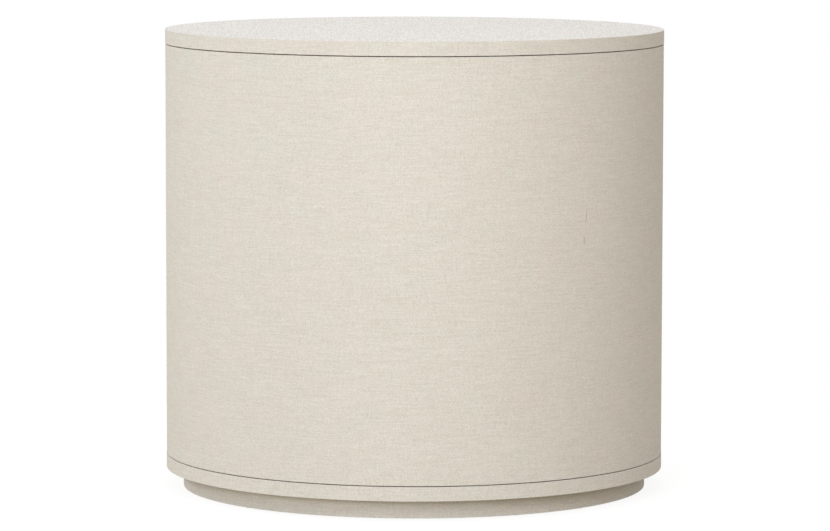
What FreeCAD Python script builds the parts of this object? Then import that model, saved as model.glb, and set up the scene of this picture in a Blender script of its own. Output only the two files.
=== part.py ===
import FreeCAD, Part
import math
import os
import re
import Sketcher

# Round nightstand: a drum on a recessed plinth. Its front half is one curved door on two knife
# hinges at the left end, kept shut by a push latch at the right end. Lengths are in millimetres
# and angles in degrees. The origin is on the floor at the drum's axis, +Z is up and the door
# faces -Y.

SIZES = {
    # The drum: boards, skins and the lines between them
    "drum_diameter": 660.0,
    "top_thickness": 18.0,
    "base_thickness": 18.0,
    "door_height": 542.0,
    "reveal": 2.0,
    "reveal_depth": 6.0,
    "seam": 2.0,
    "shell_setback": 0.3,
    "shell_thickness": 16.0,
    "nose_flat": 1.0,
    "glue_line": 0.2,
    # Plinth and glides
    "plinth_height": 25.0,
    "plinth_setback": 22.5,
    "plinth_width": 60.0,
    "glide_count": 4.0,
    "glide_start_angle": 45.0,
    "glide_inset": 12.0,
    "glide_radius": 10.0,
    "glide_thickness": 4.0,
    "glide_projection": 1.0,
    "glide_clearance": 0.2,
    "nail_radius": 1.0,
    "nail_length": 18.0,
    "nail_skin": 1.5,
    # Carcass inside the skins
    "rib_width": 30.0,
    "rib_height": 18.0,
    "jamb_width": 23.5,
    "jamb_depth": 30.0,
    "shelf_rise": 265.0,
    "shelf_thickness": 16.0,
    "shelf_setback": 46.0,
    "shelf_clearance": 0.5,
    # Long screws that pull the boards together
    "panel_screw_head": 4.0,
    "panel_screw_shank": 2.0,
    "panel_screw_length": 30.0,
    "panel_screw_start_angle": 30.0,
    "panel_screw_sweep_angle": 120.0,
    "rib_screw_count": 3.0,
    "shelf_screw_count": 3.0,
    "plinth_screw_count": 4.0,
    "plinth_counterbore": 10.0,
    "counterbore_clearance": 0.5,
    "head_land": 0.2,
    "screw_clearance": 0.1,
    "pilot_spare": 1.0,
    # Short screws that hold the fittings
    "fitting_screw_head": 3.0,
    "fitting_screw_shank": 1.5,
    "fitting_screw_length": 16.0,
    # Knife hinges
    "leaf_reach": 54.0,
    "leaf_width": 10.0,
    "leaf_thickness": 3.0,
    "leaf_clearance": 0.1,
    "leaf_screw_place": 20.0,
    "leaf_screw_spacing": 24.0,
    "pin_radius": 2.5,
    "pin_clearance": 0.05,
    "washer_radius": 4.8,
    "washer_play": 0.1,
    # Door frame
    "stile_width": 41.5,
    "stile_thickness": 18.0,
    # Push latch
    "latch_drop": 60.0,
    "latch_size": 16.0,
    "latch_length": 52.0,
    "latch_recess": 2.0,
    "latch_corner": 2.0,
    "latch_flange_thickness": 3.0,
    "latch_flange_height": 40.0,
    "latch_back_wall": 6.0,
    "latch_bore_clearance": 0.3,
    "plunger_radius": 4.0,
    "plunger_length": 31.0,
    "magnet_radius": 3.5,
    "magnet_thickness": 3.0,
    "strike_size": 14.0,
    "strike_thickness": 2.0,
    "strike_gap": 0.3,
    "spring_radius": 3.2,
    "spring_wire": 0.7,
    "spring_seat_gap": 0.1,
    # Soft bumpers where the door lands
    "bumper_radius": 4.0,
    "bumper_gap": 0.3,
    "bumper_inset": 40.0,
    # How finely small round pieces are drawn
    "screw_sides": 8.0,
    "disc_sides": 24.0,
}

# Sizes and places that follow from the ones above
WORKED_OUT = {
    "drum_radius": "drum_diameter / 2",
    "shell_radius": "drum_radius - shell_setback",
    "shell_inside": "shell_radius - shell_thickness",
    "shell_middle": "shell_radius - shell_thickness / 2",
    "fitted_radius": "shell_inside - glue_line",
    "rib_inside": "fitted_radius - rib_width",
    "rib_middle": "fitted_radius - rib_width / 2",
    "plinth_radius": "drum_radius - plinth_setback",
    "plinth_inside": "plinth_radius - plinth_width",
    "plinth_middle": "plinth_radius - plinth_width / 2",
    "glide_place": "plinth_radius - glide_inset",
    "glide_seat": "glide_thickness - glide_projection",
    "base_underside": "glide_projection + plinth_height",
    "base_top": "base_underside + base_thickness",
    "door_bottom": "base_top + reveal",
    "door_top": "door_bottom + door_height",
    "top_underside": "door_top + reveal",
    "carcass_height": "door_height + 2 * reveal",
    "carcass_middle": "base_top + carcass_height / 2",
    "seam_half": "seam / 2",
    "jamb_back": "seam_half + jamb_depth",
    "jamb_inside": "fitted_radius - jamb_width",
    "stile_front": "seam_half + stile_thickness",
    "stile_inside": "fitted_radius - stile_width",
    "shelf_underside": "base_top + shelf_rise",
    "shelf_radius": "shell_inside - shelf_setback",
    "pivot_depth": "seam_half + shell_thickness / 2",
    "pivot_reach": "sqrt(shell_middle ^ 2 - pivot_depth ^ 2)",
    "leaf_turn": "asin(pivot_depth / shell_middle) + asin(leaf_reach / 2 / shell_middle) - 90 deg",
    "leaf_radius": "leaf_width / 2",
    "latch_height": "top_underside - latch_drop",
    "latch_axis": "jamb_inside - latch_size / 2",
    "latch_mouth": "seam_half + latch_recess",
    "latch_back": "latch_mouth + latch_length",
    "latch_screw_row": "seam_half + jamb_depth / 2",
    "latch_screw_rise": "(latch_size + latch_flange_height) / 4",
    "magnet_face": "strike_gap - seam_half",
    "plunger_front": "magnet_face + magnet_thickness",
    "plunger_back": "plunger_front + plunger_length",
    "bore_end": "latch_back - latch_back_wall",
    "bumper_thickness": "seam - bumper_gap",
    "bumper_place": "(jamb_inside + fitted_radius) / 2",
}

doc = FreeCAD.newDocument("round_nightstand")
sheet = doc.addObject("Spreadsheet::Sheet", "sizes")
for row, (alias, size) in enumerate(SIZES.items(), start=1):
    sheet.set("A%d" % row, alias)
    sheet.set("B%d" % row, str(size))
    sheet.setAlias("B%d" % row, alias)
doc.recompute()

pieces = []


def formula(text):
    """Spell a sum of named sizes as one that reads the sheet."""
    def spell(match):
        name = match.group()
        if name in WORKED_OUT:
            return "(" + formula(WORKED_OUT[name]) + ")"
        return "sizes." + name if name in SIZES else name
    return re.sub(r"[a-z][a-z_]*", spell, text)


def bind(item, **sizes):
    """Tie properties of an object to sums of named sizes."""
    for name, text in sizes.items():
        item.setExpression(name, formula(text))


def placing(x="0", y="0", z="0", turn="0 deg", about="0; 0; 1"):
    """The expression for a placement: a place, and a turn about an axis through it."""
    return (f"create(<<placement>>; create(<<vector>>; {x}; {y}; {z}); "
            f"create(<<rotation>>; create(<<vector>>; {about}); {turn}))")


def new_body(label):
    """Start a piece that is built from sketches."""
    body = doc.addObject("PartDesign::Body", label)
    body.Label = label
    pieces.append(body)
    return body


def origin_item(body, role):
    """A body's own base plane or axis."""
    return next(item for item in body.Origin.OriginFeatures if item.Role == role)


def new_sketch(body, name, plane="XY_Plane", **place):
    """Start a sketch on one of the body's base planes, moved and turned in that plane's axes."""
    sketch = body.newObject("Sketcher::SketchObject", name)
    sketch.AttachmentSupport = [(origin_item(body, plane), "")]
    sketch.MapMode = "FlatFace"
    bind(sketch, AttachmentOffset=placing(**place))
    return sketch


def fix(sketch, kind, *where, size):
    """Add a sketch dimension and tie it to a sum of named sizes."""
    index = sketch.addConstraint(Sketcher.Constraint(kind, *where, 1.0))
    bind(sketch, **{f"Constraints[{index}]": size})


def draw_circle(sketch, radius, x="0"):
    """A circle centred on the sketch's horizontal axis."""
    circle = sketch.addGeometry(Part.Circle())
    if x == "0":
        sketch.addConstraint(Sketcher.Constraint("Coincident", circle, 3, -1, 1))
    else:
        sketch.addConstraint(Sketcher.Constraint("PointOnObject", circle, 3, -1))
        fix(sketch, "DistanceX", -1, 1, circle, 3, size=x)
    fix(sketch, "Radius", circle, size=radius)


def draw_polygon(sketch, radius, sides="screw_sides"):
    """A regular outline whose corners lie on a circle, for screws and other small pieces."""
    sides = int(sheet.get(sides))
    guide = sketch.addGeometry(Part.Circle(), True)
    sketch.addConstraint(Sketcher.Constraint("Coincident", guide, 3, -1, 1))
    fix(sketch, "Radius", guide, size=radius)
    corners = [FreeCAD.Vector(math.cos(turn), math.sin(turn))
               for turn in (math.tau * number / sides for number in range(sides))]
    lines = [sketch.addGeometry(Part.LineSegment(corner, after))
             for corner, after in zip(corners, corners[1:] + corners[:1])]
    for line, after in zip(lines, lines[1:] + lines[:1]):
        sketch.addConstraint(Sketcher.Constraint("Coincident", line, 2, after, 1))
        sketch.addConstraint(Sketcher.Constraint("PointOnObject", line, 1, guide))
    for line in lines[1:]:
        sketch.addConstraint(Sketcher.Constraint("Equal", lines[0], line))
    sketch.addConstraint(Sketcher.Constraint("PointOnObject", lines[0], 1, -1))


def draw_outline(sketch, corners):
    """A closed outline of straight sides. Each corner is a pair of sums, none below zero."""
    count = len(corners)
    for index in range(count):
        ends = [FreeCAD.Vector(math.cos(turn), math.sin(turn))
                for turn in (math.tau * index / count, math.tau * (index + 1) / count)]
        sketch.addGeometry(Part.LineSegment(*ends))
    for index, (across, along) in enumerate(corners):
        before = (index - 1) % count
        sketch.addConstraint(Sketcher.Constraint("Coincident", before, 2, index, 1))
        for kind, size, axis in (("DistanceX", across, -2), ("DistanceY", along, -1)):
            if size == "0":
                sketch.addConstraint(Sketcher.Constraint("PointOnObject", index, 1, axis))
            else:
                fix(sketch, kind, -1, 1, index, 1, size=size)


def draw_rectangle(sketch, width, height):
    """A rectangle with its lower left corner at the sketch's origin."""
    draw_outline(sketch, [("0", "0"), (width, "0"), (width, height), ("0", height)])


def draw_strap(sketch, reach, radius):
    """A bar's outline: a half circle about the sketch's origin, and a square far end."""
    quarter = math.pi / 2
    near = sketch.addGeometry(Part.ArcOfCircle(Part.Circle(), quarter, 3 * quarter))
    corners = [FreeCAD.Vector(0, -1), FreeCAD.Vector(3, -1), FreeCAD.Vector(3, 1),
               FreeCAD.Vector(0, 1)]
    low, end, high = [sketch.addGeometry(Part.LineSegment(*pair))
                      for pair in zip(corners, corners[1:])]
    for one, its_end, other, other_end in ((near, 2, low, 1), (low, 2, end, 1),
                                           (end, 2, high, 1), (high, 2, near, 1)):
        sketch.addConstraint(Sketcher.Constraint("Coincident", one, its_end, other, other_end))
    sketch.addConstraint(Sketcher.Constraint("Coincident", near, 3, -1, 1))
    for line, direction in ((low, "Horizontal"), (end, "Vertical"), (high, "Horizontal")):
        sketch.addConstraint(Sketcher.Constraint(direction, line))
    for its_end in (1, 2):
        sketch.addConstraint(Sketcher.Constraint("Vertical", near, its_end, near, 3))
    fix(sketch, "Radius", near, size=radius)
    fix(sketch, "DistanceX", near, 3, low, 2, size=reach)


def pad(body, sketch, length, against_normal=False):
    """Raise a sketch along its plane's normal or against it."""
    feature = body.newObject("PartDesign::Pad", sketch.Name + "_pad")
    feature.Profile = sketch
    feature.Reversed = against_normal
    bind(feature, Length=length)
    return feature


def checked_cut(body, feature):
    """Build a cut and make sure that it took something away."""
    doc.recompute()
    if not feature.Shape.Volume < feature.BaseFeature.Shape.Volume:
        raise RuntimeError(body.Label + ": " + feature.Name + " cuts nothing")
    return feature


def pocket(body, sketch, depth, along_normal=False):
    """Cut a sketch into the body, against its plane's normal or along it."""
    feature = body.newObject("PartDesign::Pocket", sketch.Name + "_cut")
    feature.Profile = sketch
    feature.Reversed = along_normal
    bind(feature, Length=depth)
    return checked_cut(body, feature)


def ring_of(body, features, count, spread):
    """Repeat features round the drum's axis."""
    pattern = body.newObject("PartDesign::PolarPattern", features[0].Name + "_ring")
    pattern.Originals = features
    pattern.Axis = (origin_item(body, "Z_Axis"), [""])
    bind(pattern, Angle=spread, Occurrences=count)
    body.Tip = pattern
    return pattern


def row_of(body, features, axis, count, length, downwards=False):
    """Repeat features in a row along one of the body's axes."""
    pattern = body.newObject("PartDesign::LinearPattern", features[0].Name + "_row")
    pattern.Originals = features
    pattern.Direction = (origin_item(body, axis), [""])
    pattern.Reversed = downwards
    pattern.Occurrences = count
    bind(pattern, Length=length)
    body.Tip = pattern
    return pattern


def round_edges(body, kind, radius, wanted):
    """Round or chamfer the edges that pass a test."""
    doc.recompute()
    base = body.Tip
    names = ["Edge%d" % number for number, edge in enumerate(base.Shape.Edges, start=1)
             if wanted(edge)]
    feature = body.newObject("PartDesign::" + kind, body.Label + "_" + kind.lower())
    feature.Base = (base, names)
    bind(feature, **{"Radius" if kind == "Fillet" else "Size": radius})
    body.Tip = feature
    doc.recompute()
    return feature


def sink_depth(kind):
    """How deep the bevel under a countersunk screw's head is."""
    return f"({kind}_head - {kind}_shank) * cos(180 deg / screw_sides)"


def bevel(body, sketch, size, far):
    """Bevel the rim that a drawn polygon leaves in its sketch's plane, or the far one."""
    doc.recompute()
    centre = sketch.Placement.Base
    radius = sketch.Geometry[0].Radius

    def on_rim(edge):
        """Whether an edge belongs to that rim."""
        gaps = [corner.Point.distanceToPoint(centre) - radius for corner in edge.Vertexes]
        return min(gaps) > sheet.head_land if far else max(map(abs, gaps)) < Part.Precision.confusion()

    feature = round_edges(body, "Chamfer", size, on_rim)
    feature.SupportTransform = True
    return feature


def screw(body, name, kind, plane="XY_Plane", against_normal=False, **spot):
    """A countersunk screw, from its head along a plane's normal or against it."""
    head = new_sketch(body, name + "_head", plane, **spot)
    draw_polygon(head, f"{kind}_head")
    pad(body, head, sink_depth(kind) + " + head_land", against_normal)
    cap = bevel(body, head, sink_depth(kind), far=True)
    shank = new_sketch(body, name + "_shank", plane, **spot)
    draw_polygon(shank, f"{kind}_shank")
    return [cap, pad(body, shank, f"{kind}_length", against_normal)]


def screw_hole(body, name, kind, depth, plane="XY_Plane", along_normal=True, **spot):
    """The hole that a countersunk screw passes through, from its head's side."""
    way = new_sketch(body, name + "_way", plane, **spot)
    draw_polygon(way, f"{kind}_shank + screw_clearance")
    pocket(body, way, depth, along_normal)
    return [bevel(body, way, sink_depth(kind) + " + head_land", far=False)]


def pilot_hole(body, name, depth, **spot):
    """The blind hole that a long screw bites into, upwards from a board's underside."""
    pilot = new_sketch(body, name + "_pilot", **spot)
    draw_polygon(pilot, "panel_screw_shank + screw_clearance")
    return [pocket(body, pilot, depth, along_normal=True)]


def place(piece, **where):
    """Put a piece where it belongs in the drum."""
    bind(piece, Placement=placing(**where))


def lay_leaf(z, flipped=False):
    """A knife hinge leaf's placement: its pin hole on the pivot, its far end on the shell."""
    text = placing("-pivot_reach", "-pivot_depth", z, "leaf_turn")
    if flipped:
        text += " * " + placing(turn="180 deg", about="1; 0; 0")
    return text


def saw(body, height, cut_line, rear):
    """Cut away the front or the rear of a round piece, up to a line that far from the axis."""
    low = "-drum_radius" if rear else f"-({cut_line})"
    waste = new_sketch(body, body.Label + "_waste", x="-drum_radius", y=low)
    draw_rectangle(waste, "drum_diameter", f"drum_radius + {cut_line}")
    pocket(body, waste, height, along_normal=True)


def half_ring(label, outer, inner, height, cut_line, rear):
    """A half ring: a full ring, sawn off along a line across the drum."""
    body = new_body(label)
    ring = new_sketch(body, label + "_ring")
    draw_circle(ring, outer)
    draw_circle(ring, inner)
    pad(body, ring, height)
    doc.recompute()
    saw(body, height, cut_line, rear)
    return body


def leaf_spot(along):
    """A place on the line of the hinge leaves, that far from the pivot, turned with them."""
    return {"x": f"({along}) * cos(leaf_turn) - pivot_reach",
            "y": f"({along}) * sin(leaf_turn) - pivot_depth", "turn": "leaf_turn"}


def leaf_recess(body, level, face_up):
    """Let a knife hinge leaf into a face, flush, with the pilot holes of its screws."""
    bed = new_sketch(body, body.Label + "_leaf_bed_" + ("top" if face_up else "bottom"),
                     z=level, **leaf_spot("0"))
    draw_strap(bed, "leaf_reach + leaf_clearance", "leaf_radius + leaf_clearance")
    pocket(body, bed, "leaf_thickness", along_normal=not face_up)
    end = "top" if face_up else "bottom"
    for number in (0, 1):
        pilot = new_sketch(body, f"{body.Label}_{end}_pilot_{number}", z=level,
                           **leaf_spot(f"leaf_screw_place + {number} * leaf_screw_spacing"))
        draw_polygon(pilot, "fitting_screw_shank + screw_clearance")
        pocket(body, pilot, "fitting_screw_length + screw_clearance", along_normal=not face_up)


def ring_sketch_place(radius):
    """Where the first of a ring of screws stands."""
    return {"x": f"({radius}) * cos(panel_screw_start_angle * 1 deg)",
            "y": f"({radius}) * sin(panel_screw_start_angle * 1 deg)",
            "turn": "panel_screw_start_angle * 1 deg"}


def top_panel():
    """Top: a round board whose underside takes the carcass screws and the upper hinge leaf."""
    body = new_body("top_panel")
    disc = new_sketch(body, "top_disc")
    draw_circle(disc, "drum_radius")
    pad(body, disc, "top_thickness")
    doc.recompute()
    leaf_recess(body, "0", face_up=False)
    holes = pilot_hole(body, "top", "panel_screw_length - rib_height + pilot_spare",
                       **ring_sketch_place("rib_middle"))
    ring_of(body, holes, "rib_screw_count", "panel_screw_sweep_angle")
    place(body, z="top_underside")


def base_panel():
    """Base: a round board, screwed up into the bottom rib and down on the plinth."""
    body = new_body("base_panel")
    disc = new_sketch(body, "base_disc")
    draw_circle(disc, "drum_radius")
    pad(body, disc, "base_thickness")
    doc.recompute()
    leaf_recess(body, "base_thickness", face_up=True)
    holes = screw_hole(body, "base", "panel_screw", "base_thickness",
                       **ring_sketch_place("rib_middle"))
    ring_of(body, holes, "rib_screw_count", "panel_screw_sweep_angle")
    depth = "panel_screw_length + plinth_counterbore - plinth_height + pilot_spare"
    ring_of(body, pilot_hole(body, "base", depth, x="plinth_middle"), "plinth_screw_count",
            "360 deg")
    place(body, z="base_underside")


def plinth_ring():
    """Plinth: a ring cut from board, set back under the base, with a bed for each glide."""
    body = new_body("plinth_ring")
    ring = new_sketch(body, "plinth_outline")
    draw_circle(ring, "plinth_radius")
    draw_circle(ring, "plinth_inside")
    pad(body, ring, "plinth_height")
    doc.recompute()
    counterbore = new_sketch(body, "plinth_counterbore", x="plinth_middle")
    draw_polygon(counterbore, "panel_screw_head + counterbore_clearance")
    holes = [pocket(body, counterbore, "plinth_counterbore", along_normal=True)]
    holes += screw_hole(body, "plinth", "panel_screw", "plinth_height - plinth_counterbore",
                        x="plinth_middle", z="plinth_counterbore")
    ring_of(body, holes, "plinth_screw_count", "360 deg")
    spot = {"x": "glide_place * cos(glide_start_angle * 1 deg)",
            "y": "glide_place * sin(glide_start_angle * 1 deg)", "turn": "glide_start_angle * 1 deg"}
    bed = new_sketch(body, "glide_bed", **spot)
    draw_polygon(bed, "glide_radius + glide_clearance", "disc_sides")
    beds = [pocket(body, bed, "glide_seat", along_normal=True)]
    nail_hole = new_sketch(body, "nail_hole", **spot)
    draw_polygon(nail_hole, "nail_radius + screw_clearance")
    depth = "nail_length + nail_skin - glide_projection + pilot_spare"
    beds.append(pocket(body, nail_hole, depth, along_normal=True))
    ring_of(body, beds, "glide_count", "360 deg")
    place(body, z="glide_projection")


def glides():
    """Glides: four plastic discs, each moulded round the nail that holds it."""
    body = new_body("glides")
    outline = new_sketch(body, "glide_outline", x="glide_place")
    draw_polygon(outline, "glide_radius", "disc_sides")
    disc = pad(body, outline, "glide_thickness")
    doc.recompute()
    bore = new_sketch(body, "glide_bore", x="glide_place", z="nail_skin")
    draw_polygon(bore, "nail_radius")
    ring_of(body, [disc, pocket(body, bore, "glide_thickness", along_normal=True)],
            "glide_count", "360 deg")
    place(body, turn="glide_start_angle * 1 deg")
    nails = new_body("glide_nails")
    shank = new_sketch(nails, "nail_shank", x="glide_place", z="nail_skin")
    draw_polygon(shank, "nail_radius")
    ring_of(nails, [pad(nails, shank, "nail_length")], "glide_count", "360 deg")
    place(nails, turn="glide_start_angle * 1 deg")


def rear_shell():
    """Rear shell: a moulded half drum. A rebate carries each reveal line round its edge."""
    body = new_body("rear_shell")
    core = new_sketch(body, "rear_core")
    draw_circle(core, "shell_radius - reveal_depth")
    draw_circle(core, "shell_inside")
    pad(body, core, "carcass_height")
    face = new_sketch(body, "rear_face", z="reveal")
    draw_circle(face, "shell_radius")
    draw_circle(face, "shell_inside")
    pad(body, face, "door_height")
    doc.recompute()
    saw(body, "carcass_height", "seam_half", rear=True)
    place(body, z="base_top")


def rear_rib(label, z, screw_count, from_below):
    """A rib glued inside the rear shell. Screws pass up through it, or bite into it."""
    body = half_ring(label, "fitted_radius", "rib_inside", "rib_height", "jamb_back", rear=True)
    spot = ring_sketch_place("rib_middle")
    if from_below:
        holes = screw_hole(body, label, "panel_screw", "rib_height", **spot)
    else:
        depth = "panel_screw_length - base_thickness + pilot_spare"
        holes = pilot_hole(body, label, depth, **spot)
    ring_of(body, holes, screw_count, "panel_screw_sweep_angle")
    place(body, z=z)


def shelf():
    """Shelf: its rear half fills the shell behind the jambs, its front stands clear of the door."""
    body = new_body("shelf")
    rear = new_sketch(body, "shelf_rear")
    draw_circle(rear, "fitted_radius")
    pad(body, rear, "shelf_thickness")
    doc.recompute()
    saw(body, "shelf_thickness", "jamb_back + shelf_clearance", rear=True)
    front = new_sketch(body, "shelf_front")
    draw_circle(front, "shelf_radius")
    pad(body, front, "shelf_thickness")
    doc.recompute()
    holes = pilot_hole(body, "shelf", "panel_screw_length - rib_height + pilot_spare",
                       **ring_sketch_place("rib_middle"))
    ring_of(body, holes, "shelf_screw_count", "panel_screw_sweep_angle")
    place(body, z="shelf_underside")


def screw_ring(label, z, count, spread="panel_screw_sweep_angle", radius="rib_middle",
               start="panel_screw_start_angle"):
    """Long countersunk screws, driven upwards, in a ring."""
    body = new_body(label)
    ring_of(body, screw(body, label, "panel_screw", x=radius), count, spread)
    place(body, z=z, turn=f"({start}) * 1 deg")


def sawn_post(label, left, low_y, width, inside, height, z):
    """An upright post with one curved side that follows the shell."""
    block = doc.addObject("Part::Box", label + "_block")
    block_width = f"fitted_radius - ({inside})"
    x = "-fitted_radius" if left else inside
    bind(block, Length=block_width, Width=width, Height=height,
         Placement=placing(x, low_y, z))
    drum = doc.addObject("Part::Cylinder", label + "_drum")
    bind(drum, Radius="fitted_radius", Height=height, Placement=placing(z=z))
    post = doc.addObject("Part::Common", label)
    post.Base = block
    post.Tool = drum
    return post


def drilled(label, blank, holes):
    """Take holes out of a blank. Each is a solid, its sizes and its placement."""
    tools = []
    for number, (solid, sizes, where) in enumerate(holes, start=1):
        tool = doc.addObject(solid, f"{label}_drill_{number}")
        bind(tool, Placement=where, **sizes)
        tools.append(tool)
    drills = doc.addObject("Part::Compound", label + "_drills")
    drills.Links = tools
    cut = doc.addObject("Part::Cut", label)
    cut.Base = blank
    cut.Tool = drills
    return cut


def keep(label, piece):
    """Name a finished piece that was built from solids."""
    piece.Label = label
    pieces.append(piece)


def jambs():
    """Jambs: the posts that end the rear shell. The strike jamb carries the latch."""
    size = {"low_y": "seam_half", "width": "jamb_depth", "inside": "jamb_inside",
            "height": "carcass_height", "z": "base_top"}
    keep("hinge_jamb", sawn_post("hinge_jamb", True, **size))
    blank = sawn_post("strike_jamb_blank", False, **size)
    bore = {"Circumradius": "fitting_screw_shank + screw_clearance", "Polygon": "screw_sides",
            "Height": "fitting_screw_length - latch_flange_thickness + screw_clearance"}
    holes = [("Part::Prism", bore, placing("jamb_inside", "latch_screw_row",
                                           f"latch_height {side} latch_screw_rise", "90 deg",
                                           "0; 1; 0"))
             for side in ("+", "-")]
    keep("strike_jamb", drilled("strike_jamb", blank, holes))


def stiles():
    """Stiles: the door's end posts. The strike stile takes the strike plate in its back."""
    size = {"low_y": "-stile_front", "width": "stile_thickness", "inside": "stile_inside",
            "height": "door_height", "z": "door_bottom"}
    keep("door_hinge_stile", sawn_post("door_hinge_stile", True, **size))
    blank = sawn_post("strike_stile_blank", False, **size)
    corner = "(strike_size + screw_clearance) / 2"
    seat_spot = placing(f"latch_axis - {corner}", "-seam_half", f"latch_height - {corner}",
                        "90 deg", "1; 0; 0")
    bore_spot = placing("latch_axis", "-seam_half", "latch_height", "90 deg", "1; 0; 0")
    seat = {"Length": "strike_size + screw_clearance", "Width": "strike_size + screw_clearance",
            "Height": "strike_thickness"}
    bore = {"Circumradius": "fitting_screw_shank + screw_clearance", "Polygon": "screw_sides",
            "Height": "fitting_screw_length + screw_clearance"}
    holes = [("Part::Box", seat, seat_spot), ("Part::Prism", bore, bore_spot)]
    keep("door_strike_stile", drilled("door_strike_stile", blank, holes))


def knife_leaf(label, hole_radius, z, flipped):
    """One leaf of a knife hinge: a flat bar, round about its pin hole, with two screw holes."""
    body = new_body(label)
    outline = new_sketch(body, label + "_outline")
    draw_strap(outline, "leaf_reach", "leaf_radius")
    pad(body, outline, "leaf_thickness")
    doc.recompute()
    pin_hole = new_sketch(body, label + "_pin_hole")
    draw_circle(pin_hole, hole_radius)
    pocket(body, pin_hole, "leaf_thickness", along_normal=True)
    holes = screw_hole(body, label, "fitting_screw", "leaf_thickness", along_normal=False,
                       x="leaf_screw_place", z="leaf_thickness")
    row_of(body, holes, "X_Axis", 2, "leaf_screw_spacing")
    bind(body, Placement=lay_leaf(z, flipped))


def knife_hinges():
    """Knife hinges: a leaf let into the door and one into the board, joined by a pin."""
    seat = "pin_radius"
    running = "pin_radius + pin_clearance"
    knife_leaf("lower_case_leaf", seat, "base_top - leaf_thickness", False)
    knife_leaf("lower_door_leaf", running, "door_bottom + leaf_thickness", True)
    knife_leaf("upper_case_leaf", seat, "top_underside + leaf_thickness", True)
    knife_leaf("upper_door_leaf", running, "door_top - leaf_thickness", False)
    pivot_pin("lower_pivot_pin", "base_top - leaf_thickness", False)
    pivot_pin("upper_pivot_pin", "top_underside + leaf_thickness", True)
    washer = new_body("thrust_washer")
    ring = new_sketch(washer, "washer_ring")
    draw_polygon(ring, "washer_radius", "disc_sides")
    draw_polygon(ring, "pin_radius + pin_clearance", "disc_sides")
    pad(washer, ring, "reveal - washer_play")
    place(washer, x="-pivot_reach", y="-pivot_depth", z="base_top")
    leaf_screws("case_leaf_screws", "carcass_height / 2", True)
    leaf_screws("door_leaf_screws", "door_height / 2", False)


def pivot_pin(label, z, flipped):
    """A hinge pin, riveted flush in the case leaf, its free end in the door leaf."""
    body = new_body(label)
    section = new_sketch(body, label + "_section")
    draw_circle(section, "pin_radius")
    pad(body, section, "2 * leaf_thickness + reveal")
    bind(body, Placement=lay_leaf(z, flipped))


def leaf_screws(label, level, into_case):
    """The four screws of a pair of leaves: two at the bottom, mirrored at the top."""
    body = new_body(label)
    lower = screw(body, label, "fitting_screw", against_normal=into_case,
                  x="leaf_screw_place", z=f"-({level})")
    row = body.newObject("PartDesign::MultiTransform", label + "_row")
    pairs = body.newObject("PartDesign::LinearPattern", label + "_pair")
    pairs.Direction = (origin_item(body, "X_Axis"), [""])
    pairs.Occurrences = 2
    bind(pairs, Length="leaf_screw_spacing")
    ends = body.newObject("PartDesign::Mirrored", label + "_ends")
    ends.MirrorPlane = (origin_item(body, "XY_Plane"), [""])
    row.Originals = lower
    row.Transformations = [pairs, ends]
    body.Tip = row
    bind(body, Placement=lay_leaf("carcass_middle"))


def door_panel():
    """Door: a moulded half drum. Its hinge end is rounded to a nose about the pivot."""
    body = half_ring("door_panel", "shell_radius", "shell_inside", "door_height", "seam_half",
                     rear=False)
    ends = body.Shape.BoundBox.YMax

    def on_hinge_end(edge):
        """Whether an edge is one of the two upright ones at the hinge end."""
        box = edge.BoundBox
        return box.ZLength > edge.Length / 2 and box.XMax < 0 and math.isclose(box.YMax, ends)

    round_edges(body, "Fillet", "(shell_thickness - nose_flat) / 2", on_hinge_end)
    leaf_recess(body, "0", face_up=False)
    leaf_recess(body, "door_height", face_up=True)
    place(body, z="door_bottom")


def door_ribs():
    """Door ribs: they hold the door's curve at its top and bottom, between the stiles."""
    for label, z in (("door_bottom_rib", "door_bottom"),
                     ("door_top_rib", "door_top - rib_height")):
        body = half_ring(label, "fitted_radius", "rib_inside", "rib_height", "stile_front",
                         rear=False)
        place(body, z=z)


def push_latch():
    """Push latch: a housing on the strike jamb and a sprung plunger with a magnet tip."""
    housing = new_body("latch_housing")
    section = new_sketch(housing, "latch_section", "XZ_Plane",
                         x="-latch_size / 2", y="-latch_size / 2")
    draw_rectangle(section, "latch_size", "latch_size")
    pad(housing, section, "latch_length")
    round_edges(housing, "Fillet", "latch_corner",
                lambda edge: edge.BoundBox.YLength > edge.Length / 2 and edge.BoundBox.XMax < 0)
    flange = new_sketch(housing, "latch_flange", "XZ_Plane",
                        x="latch_size / 2 - latch_flange_thickness", y="-latch_flange_height / 2")
    draw_rectangle(flange, "latch_flange_thickness", "latch_flange_height")
    pad(housing, flange, "latch_length")
    doc.recompute()
    bore = new_sketch(housing, "latch_bore", "XZ_Plane", z="latch_length")
    draw_circle(bore, "plunger_radius + latch_bore_clearance")
    pocket(housing, bore, "latch_length - latch_back_wall")
    spot = {"y": "latch_screw_rise", "z": "latch_size / 2 - latch_flange_thickness"}
    holes = screw_hole(housing, "latch", "fitting_screw", "latch_flange_thickness", "YZ_Plane",
                       x="latch_screw_row - latch_back", **spot)
    row_of(housing, holes, "Z_Axis", 2, "2 * latch_screw_rise", downwards=True)
    place(housing, x="latch_axis", y="latch_back", z="latch_height")
    screws = new_body("latch_screws")
    row_of(screws, screw(screws, "latch_screws", "fitting_screw", "YZ_Plane", **spot), "Z_Axis", 2,
           "2 * latch_screw_rise", downwards=True)
    place(screws, x="latch_axis", y="latch_screw_row", z="latch_height")
    for label, radius, length, back in (
            ("latch_plunger", "plunger_radius", "plunger_length", "plunger_back"),
            ("latch_magnet", "magnet_radius", "magnet_thickness", "plunger_front")):
        rod = new_body(label)
        end = new_sketch(rod, label + "_end", "XZ_Plane")
        draw_polygon(end, radius, "disc_sides")
        pad(rod, end, length)
        place(rod, x="latch_axis", y=back, z="latch_height")


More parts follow.
